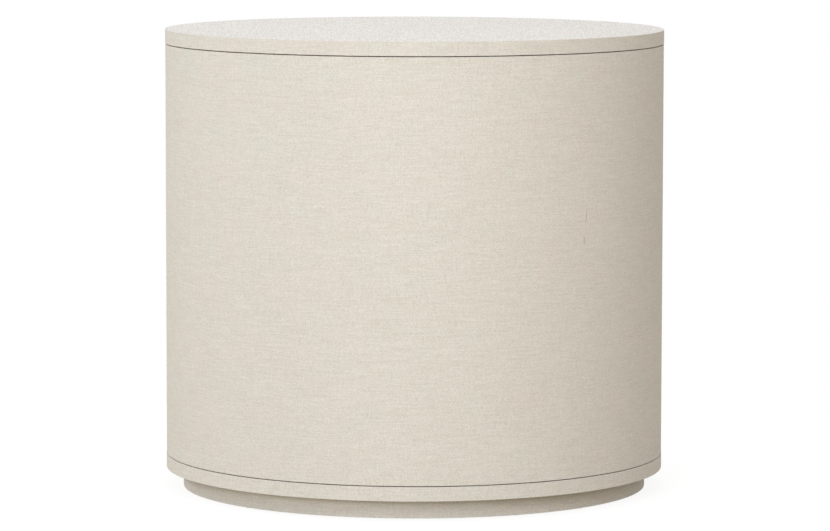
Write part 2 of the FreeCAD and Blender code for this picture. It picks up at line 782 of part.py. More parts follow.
def latch_spring():
    """The plunger's spring, as the sleeve that its coil fills behind the plunger."""
    body = new_body("latch_spring")
    ring = new_sketch(body, "spring_ring", "XZ_Plane")
    draw_polygon(ring, "spring_radius")
    draw_polygon(ring, "spring_radius - spring_wire")
    pad(body, ring, "bore_end - plunger_back - 2 * spring_seat_gap")
    place(body, x="latch_axis", y="bore_end - spring_seat_gap", z="latch_height")


def strike():
    """Strike: a steel plate let into the back of the strike stile, held by one screw."""
    plate = new_body("strike_plate")
    outline = new_sketch(plate, "strike_outline", "XZ_Plane", x="-strike_size / 2",
                         y="-strike_size / 2")
    draw_rectangle(outline, "strike_size", "strike_size")
    pad(plate, outline, "strike_thickness")
    doc.recompute()
    screw_hole(plate, "strike", "fitting_screw", "strike_thickness", "XZ_Plane")
    fastener = new_body("strike_screw")
    screw(fastener, "strike_screw", "fitting_screw", "XZ_Plane")
    for piece in (plate, fastener):
        place(piece, x="latch_axis", y="-seam_half", z="latch_height")


def door_bumpers():
    """Bumpers: two soft discs on the strike jamb, one near each end."""
    body = new_body("door_bumpers")
    disc = new_sketch(body, "bumper_disc", "XZ_Plane")
    draw_polygon(disc, "bumper_radius", "disc_sides")
    row_of(body, [pad(body, disc, "bumper_thickness")], "Z_Axis", 2,
           "door_height - 2 * bumper_inset")
    place(body, x="bumper_place", y="seam_half", z="door_bottom + bumper_inset")


top_panel()
base_panel()
plinth_ring()
glides()
rear_shell()
rear_rib("top_rib", "top_underside - rib_height", "rib_screw_count", from_below=True)
rear_rib("shelf_rib", "shelf_underside - rib_height", "shelf_screw_count", from_below=True)
rear_rib("bottom_rib", "base_top", "rib_screw_count", from_below=False)
shelf()
screw_ring("top_screws", "top_underside - rib_height", "rib_screw_count")
screw_ring("shelf_screws", "shelf_underside - rib_height", "shelf_screw_count")
screw_ring("base_screws", "base_underside", "rib_screw_count")
screw_ring("plinth_screws", "glide_projection + plinth_counterbore", "plinth_screw_count",
           "360 deg", "plinth_middle", "0")
jambs()
stiles()
knife_hinges()
door_panel()
door_ribs()
push_latch()
latch_spring()
strike()
door_bumpers()
doc.recompute()

for item in doc.Objects:
    if {"Invalid", "Error"} & set(item.State):
        raise RuntimeError(item.Label + " failed: " + ", ".join(item.State))
for piece in pieces:
    if piece.Shape.isNull() or not piece.Shape.isValid():
        raise RuntimeError(piece.Label + " has no valid shape")

os.makedirs("parts", exist_ok=True)
for piece in pieces:
    piece.Shape.exportStep("parts/" + piece.Label + ".step")
print("%d pieces" % len(pieces))
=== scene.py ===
import math

import bpy
from mathutils import Matrix, Vector


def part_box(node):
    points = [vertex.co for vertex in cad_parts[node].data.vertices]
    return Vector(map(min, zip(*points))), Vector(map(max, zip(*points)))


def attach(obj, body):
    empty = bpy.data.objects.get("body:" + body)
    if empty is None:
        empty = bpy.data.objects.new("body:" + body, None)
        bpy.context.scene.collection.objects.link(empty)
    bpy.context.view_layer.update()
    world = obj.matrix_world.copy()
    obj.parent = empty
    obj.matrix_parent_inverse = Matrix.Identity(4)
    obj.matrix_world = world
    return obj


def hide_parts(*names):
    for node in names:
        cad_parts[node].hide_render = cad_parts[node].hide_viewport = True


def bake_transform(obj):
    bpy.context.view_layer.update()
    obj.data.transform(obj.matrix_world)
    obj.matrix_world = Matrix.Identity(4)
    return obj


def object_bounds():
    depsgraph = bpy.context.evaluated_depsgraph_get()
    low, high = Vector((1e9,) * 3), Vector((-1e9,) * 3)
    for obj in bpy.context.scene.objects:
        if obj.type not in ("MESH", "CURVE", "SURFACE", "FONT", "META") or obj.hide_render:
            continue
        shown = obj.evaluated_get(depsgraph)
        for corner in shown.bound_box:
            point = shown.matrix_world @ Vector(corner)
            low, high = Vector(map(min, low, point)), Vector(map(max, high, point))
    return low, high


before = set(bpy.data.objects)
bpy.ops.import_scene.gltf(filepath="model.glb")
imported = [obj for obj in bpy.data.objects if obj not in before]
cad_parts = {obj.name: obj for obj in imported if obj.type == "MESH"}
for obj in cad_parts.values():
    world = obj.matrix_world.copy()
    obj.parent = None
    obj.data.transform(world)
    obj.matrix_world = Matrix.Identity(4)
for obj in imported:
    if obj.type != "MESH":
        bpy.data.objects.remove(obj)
cad_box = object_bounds()

# The camera stands six metres in front of the drum with a long lens, a little above its top, and
# looks down at it, as a furniture catalogue shows such a piece: the outlines stay nearly parallel.
CAMERA_PLACE = (0, -6.006, 0.9092)
CAMERA_LENS_MM = 196.73
CAMERA_SENSOR_MM = 36
CAMERA_PITCH = math.radians(5.863)
CAMERA_ROLL = math.radians(-0.094)

camera = bpy.data.objects.new("camera", bpy.data.cameras.new("camera"))
bpy.context.scene.collection.objects.link(camera)
camera.data.lens = CAMERA_LENS_MM
camera.data.sensor_width = CAMERA_SENSOR_MM
camera.location = CAMERA_PLACE
camera.rotation_euler = (math.pi / 2 - CAMERA_PITCH, CAMERA_ROLL, 0)
bpy.context.scene.camera = camera
bpy.context.scene.view_settings.view_transform = "Standard"

# The studio floor is a wide sheet of paper. The eye sees it lifted to the white of a cut-out
# background, with a soft shadow near the drum, and it bounces warm light on the drum's foot.
FLOOR_SIZE = 60
FLOOR_BOUNCE = "A8997C"
FLOOR_SEEN = "6E6E6E"
FLOOR_LIFT = 0.88
WHITE_LEVEL = 1.0
SHADOW_REACH = (0.45, 1.1)


def linear(code):
    """An sRGB hex code as linear red, green and blue, with a full alpha."""
    parts = [int(code[at:at + 2], 16) / 255 for at in (0, 2, 4)]
    return [part / 12.92 if part <= 0.04045 else ((part + 0.055) / 1.055) ** 2.4
            for part in parts] + [1.0]


def add(tree, kind, inputs=None, **settings):
    """Add a node with its settings. Each input is another node's output or a plain value."""
    node = tree.nodes.new("ShaderNode" + kind)
    for name, value in settings.items():
        setattr(node, name, value)
    for socket, value in (inputs or {}).items():
        if isinstance(value, bpy.types.NodeSocket):
            tree.links.new(value, node.inputs[socket])
        else:
            node.inputs[socket].default_value = value
    return node


def empty_tree(owner):
    """Switch a material or a world to nodes, and clear them away."""
    owner.use_nodes = True
    owner.node_tree.nodes.clear()
    return owner.node_tree


def for_the_eye(tree):
    """A factor of 1 for the camera's rays, mirrored rays and rays through glass, else 0."""
    path = add(tree, "LightPath")
    mirrored = add(tree, "Math", {0: path.outputs["Is Camera Ray"],
                                  1: path.outputs["Is Glossy Ray"]}, operation="MAXIMUM")
    through = add(tree, "Math", {0: mirrored.outputs[0],
                                 1: path.outputs["Is Transmission Ray"]}, operation="MAXIMUM")
    return through.outputs[0]


def paint(piece, material):
    """Give a piece one material all over."""
    piece.data.materials.clear()
    piece.data.materials.append(material)
    for face in piece.data.polygons:
        face.material_index = 0


floor_paper = bpy.data.materials.new("white_floor_paper")
tree = empty_tree(floor_paper)
bounce = add(tree, "BsdfDiffuse", {"Color": linear(FLOOR_BOUNCE)})
seen = add(tree, "BsdfDiffuse", {"Color": linear(FLOOR_SEEN)})
lift = add(tree, "Emission", {"Strength": FLOOR_LIFT})
lifted = add(tree, "AddShader", {0: seen.outputs[0], 1: lift.outputs[0]})
white = add(tree, "Emission", {"Strength": WHITE_LEVEL})
here = add(tree, "TexCoord")
distance = add(tree, "VectorMath", {0: here.outputs["Object"]}, operation="LENGTH")
far = add(tree, "MapRange", {"Value": distance.outputs["Value"],
                             "From Min": SHADOW_REACH[0], "From Max": SHADOW_REACH[1]})
shown = add(tree, "MixShader", {0: far.outputs[0], 1: lifted.outputs[0], 2: white.outputs[0]})
paper = add(tree, "MixShader", {0: for_the_eye(tree), 1: bounce.outputs[0], 2: shown.outputs[0]})
add(tree, "OutputMaterial", {"Surface": paper.outputs[0]})

bpy.ops.object.select_all(action="DESELECT")
bpy.ops.mesh.primitive_plane_add(size=FLOOR_SIZE)
floor = bpy.context.object
floor.name = "floor"
paint(floor, floor_paper)

# Studio light: a white room gives half of it from all round. The strongest soft box stands low in
# front, a little to the left, and weaker ones fill in from both sides, above and behind.
ROOM_COLOUR = "FFFFFF"
ROOM_LEVEL = 0.65
DRUM_MIDDLE = Vector((0, 0, 0.3))
BOX_DISTANCE = 3.2
SOFT_BOXES = {
    # name: azimuth, elevation, width in metres, power in watts, colour
    "low_front_box": (-20, 9, 1.2, 28, "FFFFFF"),
    "front_box": (0, 35, 1.5, 16.5, "F4F9FF"),
    "left_side_box": (-110, 20, 1.5, 27, "FFFFFF"),
    "right_side_box": (45, 25, 1.5, 8, "FFE9CC"),
    "overhead_box": (0, 80, 1.5, 16, "EEEBFF"),
    "rear_box": (180, 30, 1.5, 12, "FFFFFF"),
}

room = bpy.data.worlds.new("studio")
tree = empty_tree(room)
level = add(tree, "Background", {"Color": linear(ROOM_COLOUR), "Strength": ROOM_LEVEL})
white = add(tree, "Background", {"Color": linear(ROOM_COLOUR), "Strength": WHITE_LEVEL})
walls = add(tree, "MixShader", {0: for_the_eye(tree), 1: level.outputs[0], 2: white.outputs[0]})
add(tree, "OutputWorld", {"Surface": walls.outputs[0]})
bpy.context.scene.world = room

for name, (azimuth, elevation, width, power, colour) in SOFT_BOXES.items():
    lamp = bpy.data.lights.new(name, "AREA")
    lamp.shape = "DISK"
    lamp.size = width
    lamp.energy = power
    lamp.color = linear(colour)[:3]
    box = bpy.data.objects.new(name, lamp)
    bpy.context.scene.collection.objects.link(box)
    turn, rise = math.radians(azimuth), math.radians(elevation)
    away = Vector((math.sin(turn) * math.cos(rise), -math.cos(turn) * math.cos(rise),
                   math.sin(rise)))
    box.location = DRUM_MIDDLE + away * BOX_DISTANCE
    box.rotation_euler = away.to_track_quat("Z", "Y").to_euler()

# Glides: four round feet of dark polypropylene, each moulded round the steel nail that is driven
# up into the plinth. The rim is rounded so that it slides, and only its thin dark edge shows.
GLIDE_RADIUS = 0.010
GLIDE_RIM = 0.0014
GLIDE_RIM_SHARES = (0.35, 0.3)
GLIDE_TURNS = (45, 135, 225, 315)
NAIL_RADIUS = 0.0009
NAIL_POINT = 0.003
NAIL_TIP_SHARE = 0.2
NAIL_SIDES = 16
TURNED_SIDES = 48
TURNED_SHARP = math.radians(32)
FINE_OCTAVES = 2
CLOUD_OCTAVES = 3
PLASTIC_DARK = "2E2B28"
PLASTIC_WORN = "3B3733"
PLASTIC_IOR = 1.49
PLASTIC_ROUGHNESS = (0.38, 0.62)
SPARK_GRAIN = 0.0004
SPARK_STRENGTH = 0.3
SPARK_DEPTH = 0.00005
STEEL_PALE = "C9CBCB"
STEEL_DULL = "AEAFA8"
STEEL_ROUGHNESS = (0.24, 0.48)
PLATING_CLOUD = 0.006
BRUSH_WIDTH = 0.0003
SCRATCH_DRAW_SHARE = 0.08
SCRATCH_STRENGTH = 0.2
SCRATCH_DEPTH = 0.00003


def start_on(piece):
    """Select one piece alone and make it the one that operators work on."""
    bpy.ops.object.select_all(action="DESELECT")
    piece.select_set(True)
    bpy.context.view_layer.objects.active = piece


def turned(name, rings, sides=TURNED_SIDES):
    """A closed piece turned about +Z. Each ring is a radius and a height, the lowest first."""
    radius, height = rings[0]
    bpy.ops.object.select_all(action="DESELECT")
    bpy.ops.mesh.primitive_circle_add(vertices=sides, radius=radius, fill_type="NGON",
                                      location=(0, 0, height))
    piece = bpy.context.object
    piece.name = name
    bpy.ops.object.transform_apply(location=True, rotation=True, scale=True)
    bpy.ops.object.mode_set(mode="EDIT")
    bpy.ops.mesh.select_all(action="SELECT")
    for next_radius, next_height in rings[1:]:
        rise = (0, 0, next_height - height)
        bpy.ops.mesh.extrude_region_move(TRANSFORM_OT_translate={"value": rise})
        share = next_radius / radius
        bpy.ops.transform.resize(value=(share, share, 1), center_override=(0, 0, next_height))
        radius, height = next_radius, next_height
    bpy.ops.mesh.select_all(action="SELECT")
    bpy.ops.mesh.normals_make_consistent(inside=False)
    bpy.ops.object.mode_set(mode="OBJECT")
    bpy.ops.object.shade_smooth_by_angle(angle=TURNED_SHARP)
    return piece


def laid_out(piece, places):
    """Put a modelled piece at its first place, and a copy with its own mesh at each other one."""
    name = piece.name
    group = [piece]
    for number in range(2, len(places) + 1):
        twin = bpy.data.objects.new(f"{name}_{number}", piece.data.copy())
        bpy.context.scene.collection.objects.link(twin)
        group.append(twin)
    piece.name = name + "_1"
    for twin, place in zip(group, places):
        twin.data.transform(place)
    return group


def round_the_drum(radius, height, turns):
    """Places on a ring about the drum's axis, each turned to face outwards."""
    return [Matrix.Rotation(math.radians(turn), 4, "Z") @ Matrix.Translation((radius, 0, height))
            for turn in turns]


def settle(group, body, node, material):
    """Give pieces their material and the body they move with, and hide the node they stand for."""
    for piece in group:
        paint(piece, material)
        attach(piece, body)
        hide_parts(node)


# Polypropylene, injection moulded in a spark-eroded tool: dark, with a dull, finely grained skin.
plastic = bpy.data.materials.new("moulded_polypropylene")
tree = empty_tree(plastic)
inside = add(tree, "TexCoord").outputs["Object"]
grain = add(tree, "TexNoise", {"Vector": inside, "Scale": 1 / SPARK_GRAIN,
                               "Detail": FINE_OCTAVES})
shine = add(tree, "MapRange", {"Value": grain.outputs["Fac"], "To Min": PLASTIC_ROUGHNESS[0],
                               "To Max": PLASTIC_ROUGHNESS[1]})
colour = add(tree, "Mix", {0: grain.outputs["Fac"], 6: linear(PLASTIC_DARK),
                           7: linear(PLASTIC_WORN)}, data_type="RGBA")
skin = add(tree, "Bump", {"Height": grain.outputs["Fac"], "Strength": SPARK_STRENGTH,
                          "Distance": SPARK_DEPTH})
finish = add(tree, "BsdfPrincipled", {"Base Color": colour.outputs[2], "Normal": skin.outputs[0],
                                      "Roughness": shine.outputs[0], "IOR": PLASTIC_IOR})
add(tree, "OutputMaterial", {"Surface": finish.outputs[0]})

# Steel with a bright zinc plating, dulled in clouds and finely scratched along its length.
steel = bpy.data.materials.new("zinc_plated_steel")
tree = empty_tree(steel)
inside = add(tree, "TexCoord").outputs["Object"]
clouds = add(tree, "TexNoise", {"Vector": inside, "Scale": 1 / PLATING_CLOUD,
                                "Detail": CLOUD_OCTAVES})
drawn = add(tree, "Mapping", {"Vector": inside, "Scale": (1, 1, SCRATCH_DRAW_SHARE)})
scratches = add(tree, "TexNoise", {"Vector": drawn.outputs[0], "Scale": 1 / BRUSH_WIDTH})
colour = add(tree, "Mix", {0: clouds.outputs["Fac"], 6: linear(STEEL_PALE),
                           7: linear(STEEL_DULL)}, data_type="RGBA")
shine = add(tree, "MapRange", {"Value": clouds.outputs["Fac"], "To Min": STEEL_ROUGHNESS[0],
                               "To Max": STEEL_ROUGHNESS[1]})
skin = add(tree, "Bump", {"Height": scratches.outputs["Fac"], "Strength": SCRATCH_STRENGTH,
                          "Distance": SCRATCH_DEPTH})
finish = add(tree, "BsdfPrincipled", {"Base Color": colour.outputs[2], "Normal": skin.outputs[0],
                                      "Roughness": shine.outputs[0], "Metallic": 1.0})
add(tree, "OutputMaterial", {"Surface": finish.outputs[0]})

low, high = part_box("glides")
glide_ring = (high.x - GLIDE_RADIUS) / math.cos(math.radians(GLIDE_TURNS[0]))
rim_in, rim_up = GLIDE_RIM_SHARES
glide = turned("glide", [(GLIDE_RADIUS - GLIDE_RIM, low.z),
                         (GLIDE_RADIUS - GLIDE_RIM * rim_in, low.z + GLIDE_RIM * rim_up),
                         (GLIDE_RADIUS, low.z + GLIDE_RIM), (GLIDE_RADIUS, high.z)])
settle(laid_out(glide, round_the_drum(glide_ring, 0, GLIDE_TURNS)), "root", "glides", plastic)
low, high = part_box("glide_nails")
nail = turned("glide_nail", [(NAIL_RADIUS, low.z), (NAIL_RADIUS, high.z - NAIL_POINT),
                             (NAIL_RADIUS * NAIL_TIP_SHARE, high.z)], NAIL_SIDES)
settle(laid_out(nail, round_the_drum(glide_ring, 0, GLIDE_TURNS)), "root", "glide_nails", steel)

# Long screws: countersunk wood screws of zinc plated steel, with a cross recess and a thread up to
# the plain neck. Four pull the plinth up to the base, and the rest hold the ribs to the boards.
PANEL_HEAD = 0.004
PANEL_SHANK = 0.0019
HEAD_EDGE = 0.0002
CORE_SHARE = 0.72
NECK_SHARE = 0.35
RIDGE_SHARE = 0.6
POINT_SHARE = 0.1
POINT_SHANKS = 2
SCREW_SIDES = 32
THREAD_PITCH = 0.0018
THREAD_STEPS = 14
THREAD_SIDES = 3
BLADE_SIDES = 4
RECESS_TURNS = (0, 90)
RECESS_TAPER_SHARE = 0.75
RECESS_REACH_SHARE = 0.62
RECESS_WIDTH_SHARE = 0.2
RECESS_DEPTH_SHARE = 0.45
PLINTH_SCREW_TURNS = (0, 90, 180, 270)
RIB_SCREW_TURNS = (30, 90, 150)


def cut(piece, tool):
    """Take a tool's shape out of a piece, and put the tool away."""
    start_on(piece)
    hole = piece.modifiers.new("hole", "BOOLEAN")
    hole.operation = "DIFFERENCE"
    hole.solver = "EXACT"
    hole.object = tool
    bpy.ops.object.modifier_apply(modifier=hole.name)
    bpy.data.objects.remove(tool)


def wound(name, sides, wire, radius, low_end, pitch, turns):
    """A wire of few sides wound about +Z, with closed ends: a spring or a thread."""
    bpy.ops.object.select_all(action="DESELECT")
    bpy.ops.mesh.primitive_circle_add(vertices=sides, radius=wire, location=(radius, 0, low_end),
                                      rotation=(math.pi / 2, math.pi / 2, 0))
    coil = bpy.context.object
    coil.name = name
    bpy.ops.object.transform_apply(location=True, rotation=True, scale=True)
    winding = coil.modifiers.new("winding", "SCREW")
    winding.screw_offset = pitch
    winding.iterations = turns
    winding.steps = THREAD_STEPS
    winding.render_steps = THREAD_STEPS
    bpy.ops.object.modifier_apply(modifier=winding.name)
    bpy.ops.object.mode_set(mode="EDIT")
    bpy.ops.mesh.select_all(action="SELECT")
    bpy.ops.mesh.fill_holes(sides=sides)
    bpy.ops.mesh.normals_make_consistent(inside=False)
    bpy.ops.object.mode_set(mode="OBJECT")
    bpy.ops.object.shade_smooth_by_angle(angle=TURNED_SHARP)
    return coil


def wood_screw(name, length, head, shank):
    """A countersunk screw along +Z from its head, with its cross recess and its thread."""
    core = shank * CORE_SHARE
    sink = HEAD_EDGE + head - shank
    plain = sink + (length - sink) * NECK_SHARE
    point = POINT_SHANKS * shank
    piece = turned(name, [(head - HEAD_EDGE, 0), (head, HEAD_EDGE), (shank, sink), (shank, plain),
                          (core, plain + shank - core), (core, length - point),
                          (core * POINT_SHARE, length)], SCREW_SIDES)
    reach, depth = head * RECESS_REACH_SHARE, head * RECESS_DEPTH_SHARE
    for turn in RECESS_TURNS:
        blade = turned("blade", [(reach * math.sqrt(2), -depth),
                                 (reach * RECESS_TAPER_SHARE, depth)], BLADE_SIDES)
        blade.data.transform(Matrix.Rotation(math.radians(turn), 4, "Z")
                             @ Matrix.Diagonal((1, RECESS_WIDTH_SHARE / RECESS_REACH_SHARE, 1, 1))
                             @ Matrix.Rotation(math.pi / 4, 4, "Z"))
        cut(piece, blade)
    ridge = (shank - core) * RIDGE_SHARE
    turns = int((length - plain - point) / THREAD_PITCH)
    thread = wound("thread", THREAD_SIDES, ridge, shank - ridge, plain + ridge, THREAD_PITCH,
                   turns)
    start_on(piece)
    thread.select_set(True)
    bpy.ops.object.join()
    return piece


def panel_screws(node, turns):
    """The long screws of one of the frame's nodes, in a ring, with their heads down."""
    low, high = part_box(node)
    screw = wood_screw(node.rstrip("s"), high.z - low.z, PANEL_HEAD, PANEL_SHANK)
    places = round_the_drum(high.y - PANEL_HEAD, low.z, turns)
    settle(laid_out(screw, places), "root", node, steel)


panel_screws("plinth_screws", PLINTH_SCREW_TURNS)
panel_screws("base_screws", RIB_SCREW_TURNS)
panel_screws("shelf_screws", RIB_SCREW_TURNS)
panel_screws("top_screws", RIB_SCREW_TURNS)

# Plinth: a ring of board set back under the base, wrapped in the same fine linen as the drum.
# The cloth is glued on and sealed with a matt lacquer. The board's edges are eased, so that the
# cloth doesn't fray there.
BOARD_EASE = 0.0007
EASE_STEPS = 3
WELD = 0.000002
LEVEL_WITHIN = 10 * WELD
FLAT_WITHIN = math.radians(0.4)
SHARP = math.radians(38)
FACING_SHARE = 0.7
HOLE_FACE = 0.00435
HOLE_NECK = 0.00215
COUNTERBORE = 0.0046
OVERRUN = 0.001
LINEN_GREENISH = "EAEBE6"
LINEN_PINKISH = "EDEAE6"
LINEN_DARK_TONE_AND_SHADE = "A99E8A"
LINEN_ROUGHNESS = 0.7
LINEN_SPECULAR = 0.1
PATCH_SIZE = 0.045
PATCH_EDGES = (0.35, 0.65)
THREAD_SPACING = 0.0009
THREAD_DRIFT = 0.015
DRIFT_OCTAVES = 1
DRIFT_TURN = 3.0
FAR_APART = 1000
WEFT_SLUB_LENGTH = 0.020
WARP_SLUB_LENGTH = 0.012
LEVEL_STREAK_LENGTH = 0.022
CROSSING_DARK = 0.29
WEFT_DARK = 0.12
WARP_DARK = 0.05
LEVEL_PAINTED_SHADE = 0.36
LEVEL_SHARE = 0.45
GAP_SHARE = 0.5
GAP_PAINTED_SHADE = 0.15
WEAVE_STRENGTH = 0.35
WEAVE_DEPTH = 0.0003
CREASE_WIDTH = 0.0009
CREASE_FLOOR_SHARE = 0.2
CREASE_PAINTED_SHADE = 0.6
DRUM_RADIUS = cad_box[1].x


def cloth_place(tree):
    """The place on the cloth, weft across and warp up, and 1 where the cloth lies level."""
    here = add(tree, "TexCoord")
    place = add(tree, "SeparateXYZ", {0: here.outputs["Object"]})
    facing = add(tree, "SeparateXYZ", {0: here.outputs["Normal"]})
    upward = add(tree, "Math", {0: facing.outputs["Z"]}, operation="ABSOLUTE")
    level = add(tree, "Math", {0: upward.outputs[0], 1: FACING_SHARE}, operation="GREATER_THAN")
    turn = add(tree, "Math", {0: place.outputs["Y"], 1: place.outputs["X"]}, operation="ARCTAN2")
    along = add(tree, "Math", {0: turn.outputs[0], 1: DRUM_RADIUS}, operation="MULTIPLY")
    flat = add(tree, "VectorMath", {0: here.outputs["Object"], 1: (1, 1, 0)}, operation="MULTIPLY")
    out = add(tree, "VectorMath", {0: flat.outputs[0]}, operation="LENGTH")
    wall = add(tree, "CombineXYZ", {"X": along.outputs[0], "Y": place.outputs["Z"],
                                    "Z": out.outputs["Value"]})
    cloth = add(tree, "Mix", {0: level.outputs[0], 4: wall.outputs[0], 5: here.outputs["Object"]},
                data_type="VECTOR")
    return cloth.outputs[1], level.outputs[0]


def strands(tree, cloth, across, up):
    """A shade from 0 to 1 for each stretch of thread of that size. Its ends are staggered."""
    if across > up:
        row, run = (FAR_APART, up, FAR_APART), (across, 0, 0)
    else:
        row, run = (across, FAR_APART, FAR_APART), (0, up, 0)
    thread = add(tree, "VectorMath", {0: cloth, 1: row}, operation="SNAP")
    stagger = add(tree, "TexWhiteNoise", {"Vector": thread.outputs[0]})
    moved = add(tree, "VectorMath", {0: stagger.outputs["Color"], 1: run, 2: cloth},
                operation="MULTIPLY_ADD")
    stretch = add(tree, "VectorMath", {0: moved.outputs[0], 1: (across, up, THREAD_SPACING)},
                  operation="SNAP")
    return add(tree, "TexWhiteNoise", {"Vector": stretch.outputs[0]}).outputs["Value"]


def plain_weave(tree, cloth):
    """The height of a plain weave: round threads that go over and under their neighbours."""
    drift = add(tree, "TexNoise", {"Vector": cloth, "Scale": 1 / THREAD_DRIFT,
                                   "Detail": DRIFT_OCTAVES})
    threads = add(tree, "VectorMath", {0: cloth, 1: (math.pi / THREAD_SPACING,) * 3},
                  operation="MULTIPLY")
    threads = add(tree, "VectorMath", {0: drift.outputs["Color"], 1: (DRIFT_TURN,) * 3,
                                       2: threads.outputs[0]}, operation="MULTIPLY_ADD")
    waves = add(tree, "VectorMath", {0: threads.outputs[0]}, operation="SINE")
    wave = add(tree, "SeparateXYZ", {0: waves.outputs[0]})
    side = add(tree, "Math", {0: wave.outputs["X"], 1: wave.outputs["Y"]}, operation="MULTIPLY")
    over = add(tree, "Math", {0: side.outputs[0], 1: 0.0}, operation="GREATER_THAN")
    rounds = add(tree, "VectorMath", {0: waves.outputs[0]}, operation="ABSOLUTE")
    warp, weft, _ = add(tree, "SeparateXYZ", {0: rounds.outputs[0]}).outputs
    return add(tree, "Mix", {0: over.outputs[0], 2: weft, 3: warp}).outputs[0]


def crease_marks(tree, cloth, creases):
    """1 along each short crease in the cloth, 0 elsewhere. A crease is x, z, length and lean."""
    place = add(tree, "SeparateXYZ", {0: cloth})
    total = 0.0
    for x, z, length, lean in creases:
        middle = math.atan2(-math.sqrt(DRUM_RADIUS ** 2 - x ** 2), x) * DRUM_RADIUS
        rise = add(tree, "Math", {0: place.outputs["Y"], 1: z}, operation="SUBTRACT")
        side = add(tree, "Math", {0: place.outputs["X"], 1: middle}, operation="SUBTRACT")
        side = add(tree, "Math", {0: rise.outputs[0], 1: -lean, 2: side.outputs[0]},
                   operation="MULTIPLY_ADD")
        away = add(tree, "CombineXYZ", {"X": side.outputs[0], "Y": rise.outputs[0]})
        away = add(tree, "VectorMath", {0: away.outputs[0], 1: (1 / CREASE_WIDTH, 2 / length, 0)},
                   operation="MULTIPLY")
        away = add(tree, "VectorMath", {0: away.outputs[0]}, operation="LENGTH")
        mark = add(tree, "MapRange", {"Value": away.outputs["Value"], "From Min": 1.0,
                                      "From Max": CREASE_FLOOR_SHARE})
        total = add(tree, "Math", {0: mark.outputs[0], 1: total}, operation="MAXIMUM").outputs[0]
    return total


def lacquered_linen(name, creases=()):
    """Fine linen under matt lacquer. Each crossing and each stretch of thread has its own shade,
    and the tint drifts in patches. Painted shade darkens the gaps between the threads and any
    creases, and on a level face the lengthwise threads get painted shade, as they look when seen
    low.
    Real threads are half as wide and are drawn this coarse so that they show."""
    material = bpy.data.materials.new(name)
    tree = empty_tree(material)
    cloth, level = cloth_place(tree)
    crossings = strands(tree, cloth, THREAD_SPACING, THREAD_SPACING)
    weft = strands(tree, cloth, WEFT_SLUB_LENGTH, THREAD_SPACING)
    warp = strands(tree, cloth, THREAD_SPACING, WARP_SLUB_LENGTH)
    lengthwise = strands(tree, cloth, THREAD_SPACING, LEVEL_STREAK_LENGTH)
    dark = 0.0
    for threads, share in ((crossings, CROSSING_DARK), (weft, WEFT_DARK), (warp, WARP_DARK)):
        dark = add(tree, "Math", {0: threads, 1: share, 2: dark},
                   operation="MULTIPLY_ADD").outputs[0]
    # On a level face the thread darks are weakened, and the lengthwise threads get painted shade:
    # the streaks of light and shade the threads show when seen low.
    flatter = add(tree, "Math", {0: dark, 1: LEVEL_SHARE}, operation="MULTIPLY")
    painted_level_streaks = add(tree, "Math", {0: lengthwise, 1: LEVEL_PAINTED_SHADE, 2: flatter.outputs[0]},
                   operation="MULTIPLY_ADD")
    dark = add(tree, "Mix", {0: level, 2: dark, 3: painted_level_streaks.outputs[0]}).outputs[0]
    weave = plain_weave(tree, cloth)
    # Painted shade: the cloth is darkened where the weave is low, in the gaps between the threads.
    painted_gap_shade = add(tree, "MapRange", {"Value": weave, "From Min": GAP_SHARE, "From Max": 0.0,
                                     "To Min": 0.0, "To Max": GAP_PAINTED_SHADE}).outputs[0]
    dark = add(tree, "Math", {0: dark, 1: painted_gap_shade}, operation="ADD").outputs[0]
    height = add(tree, "Math", {0: crossings, 1: weave}, operation="MULTIPLY").outputs[0]
    if creases:
        marks = crease_marks(tree, cloth, creases)
        # Painted shade darkens each crease, where the cloth dips.
        dark = add(tree, "Math", {0: marks, 1: CREASE_PAINTED_SHADE, 2: dark},
                   operation="MULTIPLY_ADD").outputs[0]
        height = add(tree, "Math", {0: height, 1: marks}, operation="SUBTRACT").outputs[0]
    inside = add(tree, "TexCoord").outputs["Object"]
    patches = add(tree, "TexNoise", {"Vector": inside, "Scale": 1 / PATCH_SIZE,
                                     "Detail": FINE_OCTAVES})
    tint = add(tree, "MapRange", {"Value": patches.outputs["Fac"], "From Min": PATCH_EDGES[0],
                                  "From Max": PATCH_EDGES[1]})
    clean = add(tree, "Mix", {0: tint.outputs[0], 6: linear(LINEN_GREENISH),
                              7: linear(LINEN_PINKISH)}, data_type="RGBA")
    # The darks mix towards this colour. Part is the threads' own random tones, and part is painted
    # shade in the gaps, the creases and the level-face streaks.
    colour = add(tree, "Mix", {0: dark, 6: clean.outputs[2], 7: linear(LINEN_DARK_TONE_AND_SHADE)},
                 data_type="RGBA")
    relief = add(tree, "Bump", {"Height": height, "Strength": WEAVE_STRENGTH,
                                "Distance": WEAVE_DEPTH})
    finish = add(tree, "BsdfPrincipled",
                 {"Base Color": colour.outputs[2], "Normal": relief.outputs[0],
                  "Roughness": LINEN_ROUGHNESS, "Specular IOR Level": LINEN_SPECULAR})
    add(tree, "OutputMaterial", {"Surface": finish.outputs[0]})
    return material


def drill(head, neck, depth, entry=()):
    """A drill along +Z for a countersunk hole. The rings of a wider entry come first."""
    start = entry[-1][1] if entry else 0
    rings = [*entry, (head, start)] if entry else [(head, -OVERRUN), (head, 0)]
    return turned("drill", rings + [(neck, start + head - neck), (neck, start + depth + OVERRUN)],
                  SCREW_SIDES)


